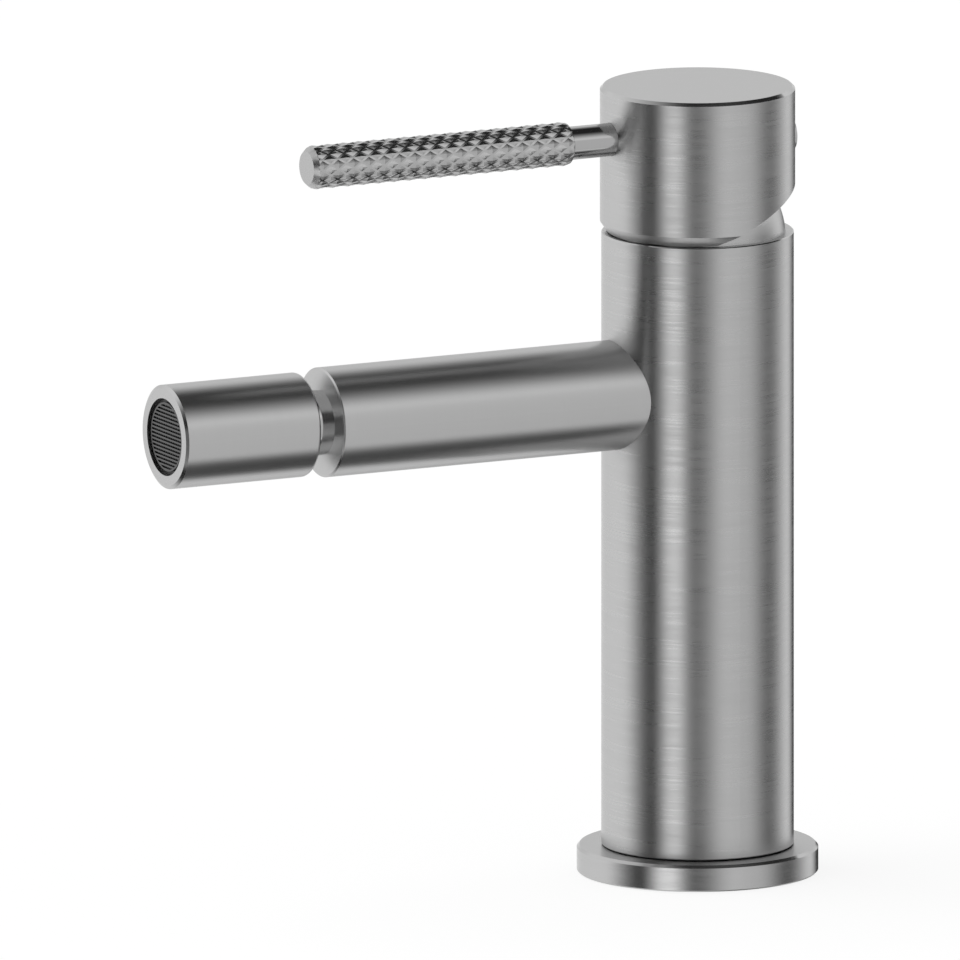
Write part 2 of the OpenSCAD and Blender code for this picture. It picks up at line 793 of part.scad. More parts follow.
module handle_cap() {
    socket_w = stem_w + 2 * fit;
    color(gunmetal)
    difference() {
        turned([
            [0, cap_foot],
            [cap_r - foot_chamfer_w, cap_foot],
            [cap_r, cap_foot + foot_chamfer_h],
            [cap_r, cap_top - cap_edge],
            [cap_r - cap_edge, cap_top],
            [0, cap_top]
        ]);
        translate([0, 0, cap_foot - over]) cylinder(r = cavity_r, h = cavity_top - cap_foot + over);
        translate([0, 0, cap_foot + cut_rise]) rotate([cut_angle, 0, 0])
            translate([-body_d, -body_d, -body_d]) cube([2 * body_d, 2 * body_d, body_d]);
        translate([-socket_w / 2, -socket_w / 2, cavity_top - over])
            cube([socket_w, socket_w, stem_top + slack - cavity_top + over]);
        forward(rod_step - rod_thread_l - slack, lever_z)
            cylinder(d = rod_thread_d + 2 * fit, h = cap_r);
        forward(rod_step, lever_z) cylinder(d = rod_d + 2 * fit, h = cap_r);
        backward(0, screw_z) cylinder(d = screw_d + 2 * fit, h = cap_r);
        backward(button_front, screw_z) cylinder(d = button_d + 2 * fit, h = cap_r);
    }
}

module set_screw() {
    color(steel)
    difference() {
        backward(stem_w / 2, screw_z) cylinder(d = screw_d, h = screw_l);
        backward(screw_back - key_depth, screw_z)
            cylinder(d = key_w / cos(30), h = key_depth + over, $fn = 6);
    }
}

module index_plug() {
    plug_l = button_front - screw_back - slack;
    crown_at = cap_r + button_proud - button_crown;
    color(gunmetal)
    union() {
        backward(screw_back + slack, screw_z) cylinder(d = screw_d, h = plug_l);
        intersection() {
            backward(button_front, screw_z) cylinder(d = button_d, h = button_seat + button_proud);
            translate([0, crown_at, screw_z]) sphere(r = button_crown);
        }
    }
}

module lever_rod() {
    color(gunmetal_light)
    union() {
        forward(rod_step - rod_thread_l, lever_z) cylinder(d = rod_thread_d, h = rod_thread_l);
        forward(rod_step, lever_z) cylinder(d = rod_d, h = grip_start - rod_step);
        forward(grip_start, lever_z) cylinder(d = tang_d, h = tang_l);
    }
}

// Radius of the knurl at a corner of its grid: points stand between the grooves' crossings
function knurl_r(column, row) = (column + row) % 2 == 0 ? grip_r - knurl_depth : grip_r;

// Knurled barrel along +Z: raised points between two crossing sets of grooves
module knurled_barrel(sides, rows, step) {
    corners = [
        for (row = [0 : rows], column = [0 : sides - 1])
            let (r = knurl_r(column, row), turn = column * 360 / sides)
            [r * cos(turn), r * sin(turn), row * step]
    ];
    foot_middle = len(corners);
    top_middle = foot_middle + 1;
    points = concat(corners, [[0, 0, 0], [0, 0, rows * step]]);
    side_faces = [
        for (row = [0 : rows - 1], column = [0 : sides - 1])
            let (
                next = (column + 1) % sides,
                a = row * sides + column,
                b = row * sides + next,
                c = (row + 1) * sides + next,
                d = (row + 1) * sides + column
            )
            each (column + row) % 2 == 0 ? [[a, c, b], [a, d, c]] : [[a, d, b], [b, d, c]]
    ];
    foot_faces = [for (column = [0 : sides - 1]) [foot_middle, column, (column + 1) % sides]];
    top_faces = [
        for (column = [0 : sides - 1])
            [top_middle, rows * sides + (column + 1) % sides, rows * sides + column]
    ];
    polyhedron(points = points, faces = concat(side_faces, foot_faces, top_faces));
}

module lever_grip() {
    color(gunmetal)
    difference() {
        union() {
            forward(knurl_start, lever_z) knurled_barrel(knurl_sides, knurl_rows, knurl_step);
            forward(grip_start, lever_z) cylinder(d1 = grip_back_d, d2 = shoulder_d, h = grip_back_edge);
            forward(grip_end - grip_edge, lever_z)
                cylinder(d1 = shoulder_d, d2 = grip_end_d, h = grip_edge);
        }
        forward(grip_start - over, lever_z) cylinder(d = tang_d + 2 * fit, h = tang_l + slack + over);
    }
}

module ball_seal() {
    color(rubber) forward(ball_at, spout_z) o_ring(ball_seal_r, ball_seal_t);
}

module nozzle_sleeve() {
    color(gunmetal)
    difference() {
        forward(nozzle_back, spout_z) rotate_extrude() union() {
            polygon([
                [0, nozzle_round],
                [nozzle_r, nozzle_round],
                [nozzle_r, nozzle_l - nozzle_edge],
                [nozzle_r - nozzle_edge_w, nozzle_l],
                [0, nozzle_l]
            ]);
            square([nozzle_r - nozzle_round, nozzle_l / 2]);
            translate([nozzle_r - nozzle_round, nozzle_round]) circle(r = nozzle_round, $fn = 48);
        }
        forward(ball_at - seal_room, spout_z) cylinder(r = mouth_r, h = nozzle_l);
        translate([0, -ball_at, spout_z]) sphere(r = seat_sphere_r);
        forward(nozzle_back, spout_z)
            cylinder(r1 = flare_d / 2, r2 = lip_r, h = lip_at - nozzle_back);
    }
}

module ball_seat() {
    color(white_plastic)
    difference() {
        forward(ball_at + seal_room, spout_z) cylinder(r = insert_r, h = ball_seat_l);
        translate([0, -ball_at, spout_z]) sphere(r = seat_sphere_r);
        forward(ball_at, spout_z) cylinder(d = ball_seat_bore, h = nozzle_l);
    }
}

module seat_retainer() {
    color(brass) forward(seat_front, spout_z) ring(insert_r, retainer_bore / 2, retainer_l);
}

module aerator_washer() {
    color(rubber) forward(retainer_front, spout_z) ring(insert_r, washer_bore / 2, washer_t);
}

module aerator_housing() {
    color(black_plastic)
    forward(washer_front, spout_z)
    difference() {
        cylinder(r = insert_r, h = net_back - washer_front);
        translate([0, 0, jet_plate]) cylinder(r = insert_r - cage_wall, h = nozzle_l);
        for (i = [0 : jet_count - 1]) rotate([0, 0, i * 360 / jet_count])
            translate([jet_ring_r, 0, -over]) cylinder(d = jet_d, h = jet_plate + 2 * over);
    }
}

module net_layer(bar) {
    linear_extrude(net_t / 2) difference() {
        circle(r = net_r);
        intersection() {
            circle(r = net_r - net_rim);
            for (i = [-net_reach : net_reach])
                if (abs(i) * net_pitch < net_r - net_rim)
                    translate([0, i * net_pitch]) square([net_d, net_pitch - bar], center = true);
        }
    }
}

module aerator_mesh() {
    color(steel)
    forward(net_back, spout_z) rotate([0, 0, net_turn]) {
        rotate([0, 0, 90]) net_layer(net_cross);
        translate([0, 0, net_t / 2]) net_layer(net_bar);
    }
}

base_flange();
base_gasket();
inlet_block();
body_shell();
pipe(-1);  // hot_pipe
pipe(1);  // cold_pipe
seat_block();
spout_nipple();
spout_seal();
spout_tube();
swivel_stem();
port_seals();
cartridge_base();
disc_seals();
fixed_disc();
cartridge_housing();
clamp_nut();
bonnet();
cartridge_rotor();
pivot_pin();
moving_disc();
disc_carrier();
cartridge_stem();
handle_cap();
set_screw();
index_plug();
lever_rod();
lever_grip();
ball_seal();
nozzle_sleeve();
ball_seat();
seat_retainer();
aerator_washer();
aerator_housing();
aerator_mesh();
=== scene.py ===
import math

import bmesh
import bpy
from mathutils import Matrix, Vector


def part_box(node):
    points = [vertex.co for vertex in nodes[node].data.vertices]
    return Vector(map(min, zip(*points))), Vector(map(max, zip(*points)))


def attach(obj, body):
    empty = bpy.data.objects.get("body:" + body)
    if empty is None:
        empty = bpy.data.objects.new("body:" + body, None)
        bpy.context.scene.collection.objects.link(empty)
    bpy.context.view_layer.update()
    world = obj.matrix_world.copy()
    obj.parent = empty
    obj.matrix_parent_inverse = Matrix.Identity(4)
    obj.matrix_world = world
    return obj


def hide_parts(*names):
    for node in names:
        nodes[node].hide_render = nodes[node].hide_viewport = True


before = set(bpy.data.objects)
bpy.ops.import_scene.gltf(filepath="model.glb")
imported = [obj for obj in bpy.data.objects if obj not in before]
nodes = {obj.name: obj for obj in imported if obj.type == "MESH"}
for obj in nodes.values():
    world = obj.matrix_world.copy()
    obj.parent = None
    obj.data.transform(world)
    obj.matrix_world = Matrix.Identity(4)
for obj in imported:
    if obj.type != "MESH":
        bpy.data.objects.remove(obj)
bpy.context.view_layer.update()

scene = bpy.context.scene
scene.view_settings.view_transform = "Standard"


# camera: a parallel view from the front right, a little above

cameraSet = {
    "turn": 63.705,      # degrees round from straight in front
    "rise": 10.982,      # degrees above the deck
    "width": 0.20929,    # metres across the picture
    "right": -0.04742,   # picture centre from the foot's centre
    "up": 0.08485,
    "away": 1.5,
    "sees": 20,          # how far, in metres
}


def makeCamera(name, values):
    turn, rise = math.radians(values["turn"]), math.radians(values["rise"])
    right = Vector((math.cos(turn), math.sin(turn), 0))
    up = Vector((-math.sin(turn) * math.sin(rise),
                 math.cos(turn) * math.sin(rise),
                 math.cos(rise)))
    back = right.cross(up)
    data = bpy.data.cameras.new(name)
    data.type = "ORTHO"
    data.ortho_scale = values["width"]
    data.clip_end = values["sees"]
    camera = bpy.data.objects.new(name, data)
    spot = right * values["right"] + up * values["up"] + back * values["away"]
    axes = Matrix((right, up, back)).transposed().to_4x4()
    camera.matrix_world = Matrix.Translation(spot) @ axes
    scene.collection.objects.link(camera)
    return camera


scene.camera = makeCamera("viewCamera", cameraSet)
print("camera set")


# helpers for meshes and node trees

def meshObject(name, points, faces):
    mesh = bpy.data.meshes.new(name)
    mesh.from_pydata([tuple(p) for p in points], [], faces)
    mesh.validate()
    mesh.update()
    made = bpy.data.objects.new(name, mesh)
    scene.collection.objects.link(made)
    return made


def addNode(tree, kind, inputs=None, **settings):
    made = tree.nodes.new(kind)
    for key, value in settings.items():
        setattr(made, key, value)
    for key, value in (inputs or {}).items():
        socket = made.inputs[key]
        if isinstance(value, bpy.types.NodeSocket):
            tree.links.new(value, socket)
        else:
            socket.default_value = value
    return made


def addMath(tree, operation, *values):
    made = addNode(tree, "ShaderNodeMath", dict(enumerate(values)), operation=operation)
    return made.outputs[0]


def startMaterial(name):
    material = bpy.data.materials.new(name)
    material.use_nodes = True
    return material, material.node_tree, material.node_tree.nodes["Principled BSDF"]


# studio: white all round, a white floor, and soft grey cards that only the metal mirrors

studio = {
    "ambient": 0.66,       # world level on matt surfaces
    "sun": 1.5,
    "sunTilt": (28, -18),  # degrees
    "sunSpread": 50,
    "floorTone": 0.98,
    "floorGlow": 0.85,     # how far the floor is washed out to white
    "floorSize": 8.0,
    "floorDrop": 0.0002,   # so that it never touches the part
}


def makeWorld(name, values):
    world = bpy.data.worlds.new(name)
    world.use_nodes = True
    tree = world.node_tree
    path = addNode(tree, "ShaderNodeLightPath").outputs
    shown = addMath(tree, "MAXIMUM", path["Is Camera Ray"], path["Is Glossy Ray"])
    shown = addMath(tree, "MAXIMUM", shown, path["Is Transmission Ray"])
    level = addMath(tree, "MULTIPLY_ADD", shown, 1 - values["ambient"], values["ambient"])
    background = tree.nodes["Background"]
    background.inputs["Color"].default_value = (1, 1, 1, 1)
    tree.links.new(level, background.inputs["Strength"])
    scene.world = world


def makeSun(name, values):
    lamp = bpy.data.lights.new(name, "SUN")
    lamp.energy = values["sun"]
    lamp.angle = math.radians(values["sunSpread"])
    sun = bpy.data.objects.new(name, lamp)
    sun.rotation_euler = [math.radians(v) for v in values["sunTilt"]] + [0]
    sun.visible_glossy = False
    scene.collection.objects.link(sun)


def makeFloor(name, values):
    half = values["floorSize"] / 2
    corners = [(-half, -half, 0), (half, -half, 0), (half, half, 0), (-half, half, 0)]
    floor = meshObject(name, corners, [(0, 1, 2, 3)])
    floor.location.z = -values["floorDrop"]
    floor.visible_glossy = False
    material, tree, shader = startMaterial(name)
    tone = values["floorTone"]
    shader.inputs["Base Color"].default_value = (tone, tone, tone, 1)
    shader.inputs["Roughness"].default_value = 1
    shader.inputs["Specular IOR Level"].default_value = 0
    seen = addNode(tree, "ShaderNodeLightPath").outputs["Is Camera Ray"]
    share = addMath(tree, "MULTIPLY", seen, values["floorGlow"])
    glow = addNode(tree, "ShaderNodeEmission", {"Color": (1, 1, 1, 1), "Strength": 1.0})
    mixed = addNode(tree, "ShaderNodeMixShader",
                    {0: share, 1: shader.outputs[0], 2: glow.outputs[0]})
    tree.links.new(mixed.outputs[0], tree.nodes["Material Output"].inputs["Surface"])
    material.cycles.emission_sampling = "NONE"
    floor.data.materials.append(material)


makeWorld("studioWorld", studio)
makeSun("softSun", studio)
makeFloor("studioFloor", studio)


# the cards: each soft strip has a middle, a reach to either side, and how dark it gets

darkest = 0.97   # no strip takes more of the light than this
wallCards = {
    "radius": 1.2,
    "foot": -0.95,
    "top": 0.78,
    "light": 1.04,
    "wide": 361,   # mesh points round it
    "high": 29,    # and up it
    "strips": [    # degrees round from the camera, to the right; a dark below 0 lightens
        {"at": -56, "left": 43, "right": 23, "dark": 0.91, "foot": -0.95, "top": 0.78},
        {"at": -2, "left": 24, "right": 46, "dark": 0.82, "foot": -0.95, "top": 0.78},
        {"at": -28, "left": 20, "right": 20, "dark": -0.42, "foot": -0.8, "top": 0.3},
        {"at": 52, "left": 36, "right": 36, "dark": 0.25, "foot": -0.95, "top": 0.78},
        {"at": 95, "left": 44, "right": 44, "dark": 0.85, "foot": -0.95, "top": 0.36},
        {"at": 165, "left": 30, "right": 22, "dark": 1.1, "foot": -0.95, "top": 0.16},
        {"at": 180, "left": 90, "right": 90, "dark": 0.12, "foot": 0.10, "top": 0.62},
    ],
    "fade": 0.2,
}
roofCard = {  # height in metres above the spout, the rest as shares of it
    "height": 1.3, "at": -0.12, "left": 1.25, "right": 1.6, "dark": 1.1,
    "clear": -0.75, "full": -0.2,
}
deckCard = {  # the same below the spout
    "height": -1.2, "at": 0.07, "left": 0.5, "right": 1.2, "dark": 1.5,
    "clear": -0.1, "full": 0.25,
}
flatCards = {  # the sheet that both are drawn on, as shares of the height
    "back": -2.0, "deep": 5.0, "side": -2.2, "broad": 4.4, "wide": 81, "high": 41,
}
frontBands = [  # dark bands above and below the level of the eye, on the spout's side
    {"radius": 1.1, "foot": 0.14, "top": 1.0, "at": -40, "left": 64, "right": 54, "dark": 1.6,
     "fade": 0.1, "wide": 61, "high": 17},
    {"radius": 1.1, "foot": -1.3, "top": -0.42, "at": -60, "left": 75, "right": 70, "dark": 1.6,
     "fade": 0.14, "wide": 61, "high": 17},
]


def stripShade(place, strip):
    off = place - strip["at"]
    reach = strip["right"] if off > 0 else strip["left"]
    share = min(abs(off) / reach, 1)
    return min(strip["dark"] * math.cos(share * math.pi / 2) ** 2, darkest)


def makeCard(name, points, faces, levels, veil=False):
    card = meshObject(name, points, faces)
    shade = card.data.attributes.new("level", "FLOAT", "POINT")
    shade.data.foreach_set("value", levels)
    material, tree, shader = startMaterial(name)
    tree.nodes.remove(shader)
    tone = addNode(tree, "ShaderNodeAttribute", attribute_name="level").outputs["Fac"]
    if veil:   # a dark gauze: see through where its level is 0
        clear = addNode(tree, "ShaderNodeBsdfTransparent").outputs[0]
        black = addNode(tree, "ShaderNodeEmission", {"Strength": 0.0}).outputs[0]
        look = addNode(tree, "ShaderNodeMixShader", {0: tone, 1: clear, 2: black})
    else:
        look = addNode(tree, "ShaderNodeEmission", {"Color": tone, "Strength": 1.0})
    tree.links.new(look.outputs[0], tree.nodes["Material Output"].inputs["Surface"])
    material.cycles.emission_sampling = "NONE"
    card.data.materials.append(material)
    card.visible_camera = False
    card.visible_diffuse = False
    card.visible_shadow = False
    card.visible_transmission = False
    card.visible_volume_scatter = False


def gridFaces(wide, high):
    return [(j * wide + i, j * wide + i + 1, (j + 1) * wide + i + 1, (j + 1) * wide + i)
            for j in range(high - 1) for i in range(wide - 1)]


def wallPoint(turn, radius, z):
    around = math.radians(turn + cameraSet["turn"] - 90)
    return radius * math.cos(around), radius * math.sin(around), z


def makeWallCards(name, values):
    points, levels = [], []
    wide, high = values["wide"], values["high"]
    for j in range(high):
        z = values["foot"] + (values["top"] - values["foot"]) * j / (high - 1)
        for i in range(wide):
            turn = 360 * i / (wide - 1) - 180
            points.append(wallPoint(turn, values["radius"], z))
            level = values["light"]
            for strip in values["strips"]:
                inside = min(z - strip["foot"], strip["top"] - z) / values["fade"]
                ways = (turn - 360, turn, turn + 360)
                nearest = min(ways, key=lambda way: abs(way - strip["at"]))
                level *= 1 - stripShade(nearest, strip) * max(min(inside, 1), 0)
            levels.append(level)
    makeCard(name, points, gridFaces(wide, high), levels)


def makeFrontBand(name, values):
    points, levels = [], []
    wide, high = values["wide"], values["high"]
    left, reach = values["at"] - values["left"], values["left"] + values["right"]
    for j in range(high):
        z = values["foot"] + (values["top"] - values["foot"]) * j / (high - 1)
        inside = min(z - values["foot"], values["top"] - z) / values["fade"]
        for i in range(wide):
            turn = left + reach * i / (wide - 1)
            points.append(wallPoint(turn, values["radius"], z))
            levels.append(stripShade(turn, values) * max(min(inside, 1), 0))
    makeCard(name, points, gridFaces(wide, high), levels, True)


def makeFlatCard(name, values, sheet, middle):
    points, levels = [], []
    tall = abs(values["height"])
    wide, high = sheet["wide"], sheet["high"]
    for j in range(high):
        along = sheet["back"] + sheet["deep"] * j / (high - 1)
        ramp = (along - values["clear"]) / (values["full"] - values["clear"])
        ramp = max(min(ramp, 1), 0)
        ramp = ramp * ramp * (3 - 2 * ramp)
        for i in range(wide):
            across = sheet["side"] + sheet["broad"] * i / (wide - 1)
            points.append((across * tall, along * tall, middle + values["height"]))
            levels.append(1 - stripShade(across, values) * ramp)
    makeCard(name, points, gridFaces(wide, high), levels)


spoutLow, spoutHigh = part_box("spout_tube")
spoutLevel = (spoutLow.z + spoutHigh.z) / 2
makeWallCards("wallCards", wallCards)
makeFlatCard("roofCard", roofCard, flatCards, spoutLevel)
makeFlatCard("deckCard", deckCard, flatCards, spoutLevel)
for number, band in enumerate(frontBands):
    makeFrontBand("frontBand%d" % number, band)
print("studio set")


# finishes

turnedFinish = {
    "tone": 0.52,
    "edgeTone": 0.8,      # how bright it stays at a grazing angle
    "rough": 0.31,
    "flatRough": 0.27,    # on the end faces
    "edgeRough": 0.14,    # on chamfers
    "underRough": 0.34,   # on chamfers that face down
    "stretch": 0.85,      # how far the brushing spreads a gleam
    "long": 75.0,         # brush marks per metre along the lines
    "across": 2000.0,     # and across them
    "toneSpread": 0.004,
    "roughSpread": 0.075,
    "depth": 0.0000001,
}
# the flange's finish: the same metal, smoother, with its tone a little darker as painted shade
footFinish = dict(turnedFinish, tone=0.50, rough=0.24)
fineFinish = dict(turnedFinish, rough=0.29, underRough=0.14, stretch=0.1, toneSpread=0.006,
                  roughSpread=0.01, depth=0.00000004)
knurlFinish = dict(turnedFinish, tone=0.49, rough=0.21, stretch=0.2, toneSpread=0.01,
                   roughSpread=0.02, depth=0.0)
polishedFinish = dict(turnedFinish, tone=0.47, rough=0.1, flatRough=0.1, stretch=0.4,
                      toneSpread=0.01, roughSpread=0.02, depth=0.0000005)
neckFinish = dict(polishedFinish, tone=0.50, rough=0.05)
steelFinish = dict(turnedFinish, tone=0.6, rough=0.26, flatRough=0.2, stretch=0.3,
                   toneSpread=0.05)
netFinish = dict(steelFinish, tone=0.125, rough=0.45, flatRough=0.3)
brushLines = {  # how the brush marks of every turned finish are mixed
    "fineShare": 0.62, "fineDetail": 3.0, "fineRough": 0.62,
    "wideShare": 0.38, "wideDetail": 2.0, "wideRough": 0.5,
    "wideScale": 0.3, "wideShift": (3.1, 1.7, 5.3),
    "low": 0.33, "high": 0.7,
    "gleamTurn": 0.25,   # of a whole turn, so that a gleam spreads across the marks
}
turnedFaces = {"end": 0.9, "chamfer": 0.5}   # how far such a face looks along the axis, at least
jointShadePaint = {"tone": 0.01, "over": 0.00002}   # painted shade for the foot joint gap: its colour, and the metres that it reaches past its ends


def lineScale(values, axis):
    long, across = values["long"], values["across"]
    return [across if axis == letter else long for letter in "XYZ"]


def turnedMetal(name, values, axis, tint=(1, 1, 1), shadow=None):
    material, tree, shader = startMaterial(name)
    places = addNode(tree, "ShaderNodeTexCoord").outputs
    lines = lineScale(values, axis)
    fine = addNode(tree, "ShaderNodeMapping", {"Vector": places["Object"], "Scale": lines})
    fineLines = addNode(tree, "ShaderNodeTexNoise", {
        "Vector": fine.outputs[0], "Scale": 1.0,
        "Detail": brushLines["fineDetail"], "Roughness": brushLines["fineRough"],
    }).outputs["Fac"]
    wide = addNode(tree, "ShaderNodeMapping", {
        "Vector": places["Object"],
        "Scale": [v * brushLines["wideScale"] for v in lines],
        "Location": brushLines["wideShift"],
    })
    wideLines = addNode(tree, "ShaderNodeTexNoise", {
        "Vector": wide.outputs[0], "Scale": 1.0,
        "Detail": brushLines["wideDetail"], "Roughness": brushLines["wideRough"],
    }).outputs["Fac"]
    wideLines = addMath(tree, "MULTIPLY", wideLines, brushLines["wideShare"])
    brush = addMath(tree, "MULTIPLY_ADD", fineLines, brushLines["fineShare"], wideLines)
    brush = addNode(tree, "ShaderNodeMapRange", {
        "Value": brush, "From Min": brushLines["low"], "From Max": brushLines["high"],
    }).outputs[0]
    low = values["tone"] * (1 - values["toneSpread"])
    high = values["tone"] * (1 + values["toneSpread"])
    tone = addNode(tree, "ShaderNodeMix", {0: brush}, data_type="RGBA")
    tone.inputs[6].default_value = [low * c for c in tint] + [1]
    tone.inputs[7].default_value = [high * c for c in tint] + [1]
    colour = tone.outputs[2]
    if shadow:   # a stretch along the axis painted near black: painted shade in the joint gap
        along = addNode(tree, "ShaderNodeSeparateXYZ", {0: places["Object"]}).outputs[axis]
        off = addMath(tree, "ABSOLUTE", addMath(tree, "SUBTRACT", along, sum(shadow) / 2))
        within = addMath(tree, "LESS_THAN", off, (shadow[1] - shadow[0]) / 2 + jointShadePaint["over"])
        paintedShade = addNode(tree, "ShaderNodeMix", {0: within}, data_type="RGBA")
        tree.links.new(colour, paintedShade.inputs[6])
        paintedShade.inputs[7].default_value = [jointShadePaint["tone"]] * 3 + [1]
        colour = paintedShade.outputs[2]
    tree.links.new(colour, shader.inputs["Base Color"])
    toward = addNode(tree, "ShaderNodeSeparateXYZ", {0: places["Normal"]}).outputs[axis]
    facing = addMath(tree, "ABSOLUTE", toward)
    flat = addMath(tree, "GREATER_THAN", facing, turnedFaces["end"])
    edge = addMath(tree, "GREATER_THAN", facing, turnedFaces["chamfer"])
    edge = addMath(tree, "SUBTRACT", edge, flat)
    under = addMath(tree, "MULTIPLY", edge, addMath(tree, "LESS_THAN", toward, 0.0))
    brushed = addMath(tree, "SUBTRACT", 1.0, flat)
    spread = addNode(tree, "ShaderNodeMapRange", {
        "Value": brush,
        "To Min": values["rough"] + values["roughSpread"] / 2,
        "To Max": values["rough"] - values["roughSpread"],
    }).outputs[0]
    flatPart = addMath(tree, "MULTIPLY", flat, values["flatRough"])
    edgePart = values["edgeRough"] - values["rough"]
    underPart = values["underRough"] - values["edgeRough"]
    spread = addMath(tree, "MULTIPLY_ADD", spread, brushed, flatPart)
    spread = addMath(tree, "MULTIPLY_ADD", edge, edgePart, spread)
    spread = addMath(tree, "MULTIPLY_ADD", under, underPart, spread)
    tree.links.new(spread, shader.inputs["Roughness"])
    lift = addNode(tree, "ShaderNodeBump",
                   {"Height": brush, "Strength": brushed, "Distance": values["depth"]})
    tree.links.new(lift.outputs[0], shader.inputs["Normal"])
    around = addNode(tree, "ShaderNodeTangent", direction_type="RADIAL", axis=axis).outputs[0]
    sideways = (0.0, 0.0, 1.0) if axis == "Y" else (1.0, 0.0, 0.0)
    straight = addNode(tree, "ShaderNodeVectorTransform", {0: sideways}, vector_type="VECTOR",
                       convert_from="OBJECT", convert_to="WORLD").outputs[0]
    grain = addNode(tree, "ShaderNodeMix", {0: flat}, data_type="VECTOR")
    tree.links.new(around, grain.inputs[4])
    tree.links.new(straight, grain.inputs[5])
    tree.links.new(grain.outputs[1], shader.inputs["Tangent"])
    shader.inputs["Metallic"].default_value = 1
    shader.inputs["Specular Tint"].default_value = [values["edgeTone"]] * 3 + [1]
    shader.inputs["Anisotropic"].default_value = values["stretch"]
    shader.inputs["Anisotropic Rotation"].default_value = brushLines["gleamTurn"]
    return material


mouldFinishes = {  # colour, roughness, grain per metre, grain height in metres
    "blackRubber": {"tone": (0.018, 0.018, 0.018), "rough": 0.72,
                    "grain": 900.0, "depth": 0.00002},
    "whitePlastic": {"tone": (0.78, 0.78, 0.75), "rough": 0.42,
                     "grain": 1400.0, "depth": 0.000006},
    "greyPlastic": {"tone": (0.15, 0.155, 0.16), "rough": 0.46,
                    "grain": 1400.0, "depth": 0.000008},
    "blackPlastic": {"tone": (0.012, 0.012, 0.012), "rough": 0.40,
                     "grain": 1400.0, "depth": 0.000008},
    "lappedCeramic": {"tone": (0.84, 0.82, 0.77), "rough": 0.14,
                      "grain": 3000.0, "depth": 0.000001},
}
mouldMix = {  # how far grain and clouds change each of them
    "grainDetail": 3.0, "roughSpread": 0.06,
    "cloudScale": 90.0, "cloudDetail": 2.0, "cloudLow": 0.9, "cloudHigh": 1.1,
}


def mouldedMatter(name, values):
    material, tree, shader = startMaterial(name)
    places = addNode(tree, "ShaderNodeTexCoord").outputs
    grain = addNode(tree, "ShaderNodeTexNoise", {
        "Vector": places["Object"], "Scale": values["grain"], "Detail": mouldMix["grainDetail"],
    }).outputs["Fac"]
    cloud = addNode(tree, "ShaderNodeTexNoise", {
        "Vector": places["Object"], "Scale": mouldMix["cloudScale"],
        "Detail": mouldMix["cloudDetail"],
    }).outputs["Fac"]
    tone = addNode(tree, "ShaderNodeMix", {0: cloud}, data_type="RGBA")
    low, high = mouldMix["cloudLow"], mouldMix["cloudHigh"]
    tone.inputs[6].default_value = [c * low for c in values["tone"]] + [1]
    tone.inputs[7].default_value = [min(c * high, 1) for c in values["tone"]] + [1]
    tree.links.new(tone.outputs[2], shader.inputs["Base Color"])
    spread = addNode(tree, "ShaderNodeMapRange", {
        "Value": grain,
        "To Min": values["rough"] - mouldMix["roughSpread"],
        "To Max": values["rough"] + mouldMix["roughSpread"],
    })
    tree.links.new(spread.outputs[0], shader.inputs["Roughness"])
    lift = addNode(tree, "ShaderNodeBump",
                   {"Height": grain, "Strength": 1.0, "Distance": values["depth"]})
    tree.links.new(lift.outputs[0], shader.inputs["Normal"])
    return material


brassFinish = dict(turnedFinish, tone=0.62, rough=0.28, flatRough=0.24, stretch=0.5,
                   toneSpread=0.06)
copperFinish = dict(turnedFinish, tone=0.66, rough=0.25, flatRough=0.25, stretch=0.4,
                    toneSpread=0.05)
brassTint = (0.92, 0.66, 0.30)
copperTint = (0.83, 0.42, 0.24)
# the gap between flange and column, where the brass foot gets a band of painted shade
footJoint = (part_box("base_flange")[1].z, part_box("body_shell")[0].z)

finishes = {
    "turnedUpright": turnedMetal("turnedUpright", turnedFinish, "Z"),
    "turnedFoot": turnedMetal("turnedFoot", footFinish, "Z"),
    "turnedForward": turnedMetal("turnedForward", fineFinish, "Y"),
    "cutKnurl": turnedMetal("cutKnurl", knurlFinish, "Y"),
    "polishedForward": turnedMetal("polishedForward", polishedFinish, "Y"),
    "polishedNeck": turnedMetal("polishedNeck", neckFinish, "Y"),
    "brightSteel": turnedMetal("brightSteel", steelFinish, "Y"),
    "netSteel": turnedMetal("netSteel", netFinish, "Y"),
    "brassUpright": turnedMetal("brassUpright", brassFinish, "Z", brassTint),
    "brassFootShaded": turnedMetal("brassFootShaded", brassFinish, "Z", brassTint, footJoint),
    "brassForward": turnedMetal("brassForward", brassFinish, "Y", brassTint),
    "drawnCopper": turnedMetal("drawnCopper", copperFinish, "X", copperTint),
}
for finishName, values in mouldFinishes.items():
    finishes[finishName] = mouldedMatter(finishName, values)

wears = {
    "turnedUpright": ["body_shell", "handle_cap", "bonnet"],
    "turnedFoot": ["base_flange"],
    "turnedForward": ["spout_tube", "nozzle_sleeve", "index_plug"],
    "cutKnurl": ["lever_grip"],
    "polishedForward": ["lever_rod"],
    "polishedNeck": ["swivel_stem"],
    "brightSteel": ["pivot_pin", "set_screw"],
    "netSteel": ["aerator_mesh"],
    "brassUpright": ["seat_block", "clamp_nut", "cartridge_stem"],
    "brassFootShaded": ["inlet_block"],
    "brassForward": ["spout_nipple", "seat_retainer"],
    "drawnCopper": ["hot_pipe", "cold_pipe"],
    "blackRubber": ["base_gasket", "spout_seal", "port_seals", "disc_seals", "ball_seal",
                    "aerator_washer"],
    "whitePlastic": ["cartridge_base", "cartridge_rotor", "ball_seat"],
    "greyPlastic": ["cartridge_housing", "disc_carrier"],
    "blackPlastic": ["aerator_housing"],
    "lappedCeramic": ["fixed_disc", "moving_disc"],
}
dressed = set()
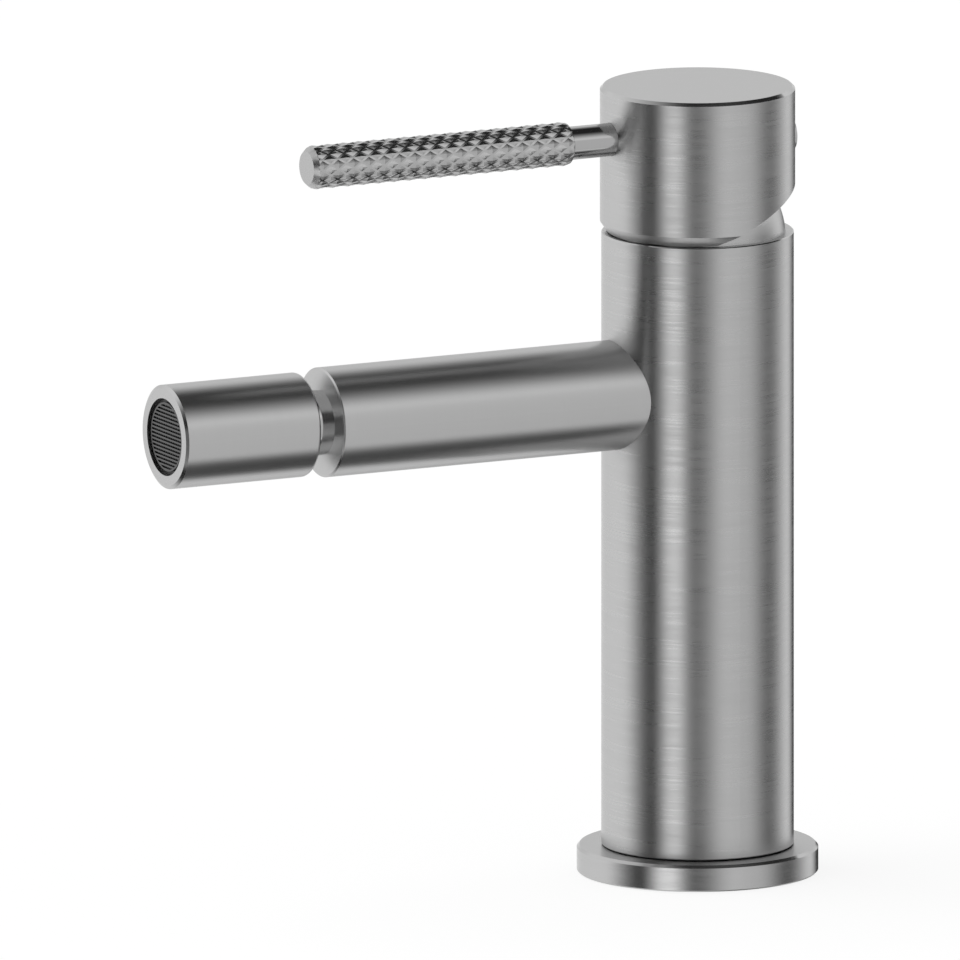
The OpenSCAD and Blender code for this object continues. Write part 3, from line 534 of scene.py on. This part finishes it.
for finishName, names in wears.items():
    for nodeName in names:
        nodes[nodeName].data.materials.clear()
        nodes[nodeName].data.materials.append(finishes[finishName])
        dressed.add(nodeName)
print("finishes on", len(dressed), "of", len(nodes), "nodes")


# grip: a sleeve with a cut diamond knurl

gripKnurl = {
    "columns": 24,       # half diamonds round the sleeve
    "rows": 33,          # half diamonds along it
    "steps": 5,          # mesh steps in each
    "shift": 0.56,       # rows that the pattern is moved along
    "depth": 0.00028,
    "shoulder": 0.00462,   # radius at both ends of the knurl
    "runOut": 1.2,         # how steeply the knurl rises from there
    "backEdge": 0.0006,
    "backRadius": 0.0042,
    "backRings": (0.35, 0.7),
    "endEdge": 0.0011,
    "endRadius": 0.00364,
    "endRings": 3,
    "seam": 0.00005,       # no ring of the knurl is nearer to its ends
    "crease": 14,          # degrees
}


def knurlHeight(column, row, floor):
    first = abs((column + row) / 2 - round((column + row) / 2)) * 2
    second = abs((column - row) / 2 - round((column - row) / 2)) * 2
    return max(min(first, second) - floor, 0) / (1 - floor), first < second


def makeGrip(name, values):
    low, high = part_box("lever_grip")
    axisZ, axisX = (low.z + high.z) / 2, (low.x + high.x) / 2
    outer = (high.x - low.x) / 2
    length = high.y - low.y
    steps, rows, columns = values["steps"], values["rows"], values["columns"]
    start, stop = values["backEdge"], length - values["endEdge"]
    rowStep = (stop - start) / rows
    rounds = columns * steps
    rings = [(0.0, None)] + [(start * k, None) for k in values["backRings"]] + [(start, None)]
    for j in range(-2 * steps, (rows + 2) * steps):
        along = start + (j / steps + values["shift"]) * rowStep
        if start + values["seam"] < along < stop - values["seam"]:
            rings.append((along, j / steps))
    rings.append((stop, None))
    for k in range(values["endRings"]):
        rings.append((stop + values["endEdge"] * (k + 1) / values["endRings"], None))
    points = []
    shoulder = values["shoulder"]
    for along, row in rings:
        row = (along - start) / rowStep - values["shift"] if row is None else row
        if along <= start:
            bend = 1 - along / start
            cap = shoulder - (shoulder - values["backRadius"]) * (1 - math.sqrt(1 - bend * bend))
        elif along >= stop:
            cap = shoulder + (values["endRadius"] - shoulder) * (along - stop) / values["endEdge"]
        else:
            cap = min(shoulder + values["runOut"] * min(along - start, stop - along), outer)
        for i in range(rounds):
            height = knurlHeight(i / steps, row, 1 / steps)[0]
            radius = min(outer - values["depth"] * (1 - height), cap)
            turn = 2 * math.pi * i / rounds
            points.append((axisX + radius * math.cos(turn),
                           high.y - along,
                           axisZ + radius * math.sin(turn)))
    faces = []
    for j in range(len(rings) - 1):
        for i in range(rounds):
            a, b = j * rounds + i, j * rounds + (i + 1) % rounds
            c, d = b + rounds, a + rounds
            middle = (rings[j][0] + rings[j + 1][0]) / 2
            middle = (middle - start) / rowStep - values["shift"]
            leftHand = knurlHeight((i + 0.5) / steps, middle, 0)[1]
            faces += [(a, b, d), (b, c, d)] if leftHand else [(a, b, c), (a, c, d)]
    for ring in (0, len(rings) - 1):
        points.append((axisX, high.y - rings[ring][0], axisZ))
        hub = len(points) - 1
        faces += [(hub, ring * rounds + i, ring * rounds + (i + 1) % rounds) for i in range(rounds)]
    grip = meshObject(name, points, faces)
    work = bmesh.new()
    work.from_mesh(grip.data)
    bmesh.ops.recalc_face_normals(work, faces=work.faces)
    work.to_mesh(grip.data)
    work.free()
    grip.data.shade_smooth()
    grip.data.set_sharp_from_angle(angle=math.radians(values["crease"]))
    grip.data.materials.append(finishes["cutKnurl"])
    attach(grip, "handle")
    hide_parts("lever_grip")
    return grip


grip = makeGrip("knurledGrip", gripKnurl)
print("grip made:", len(grip.data.polygons), "faces")
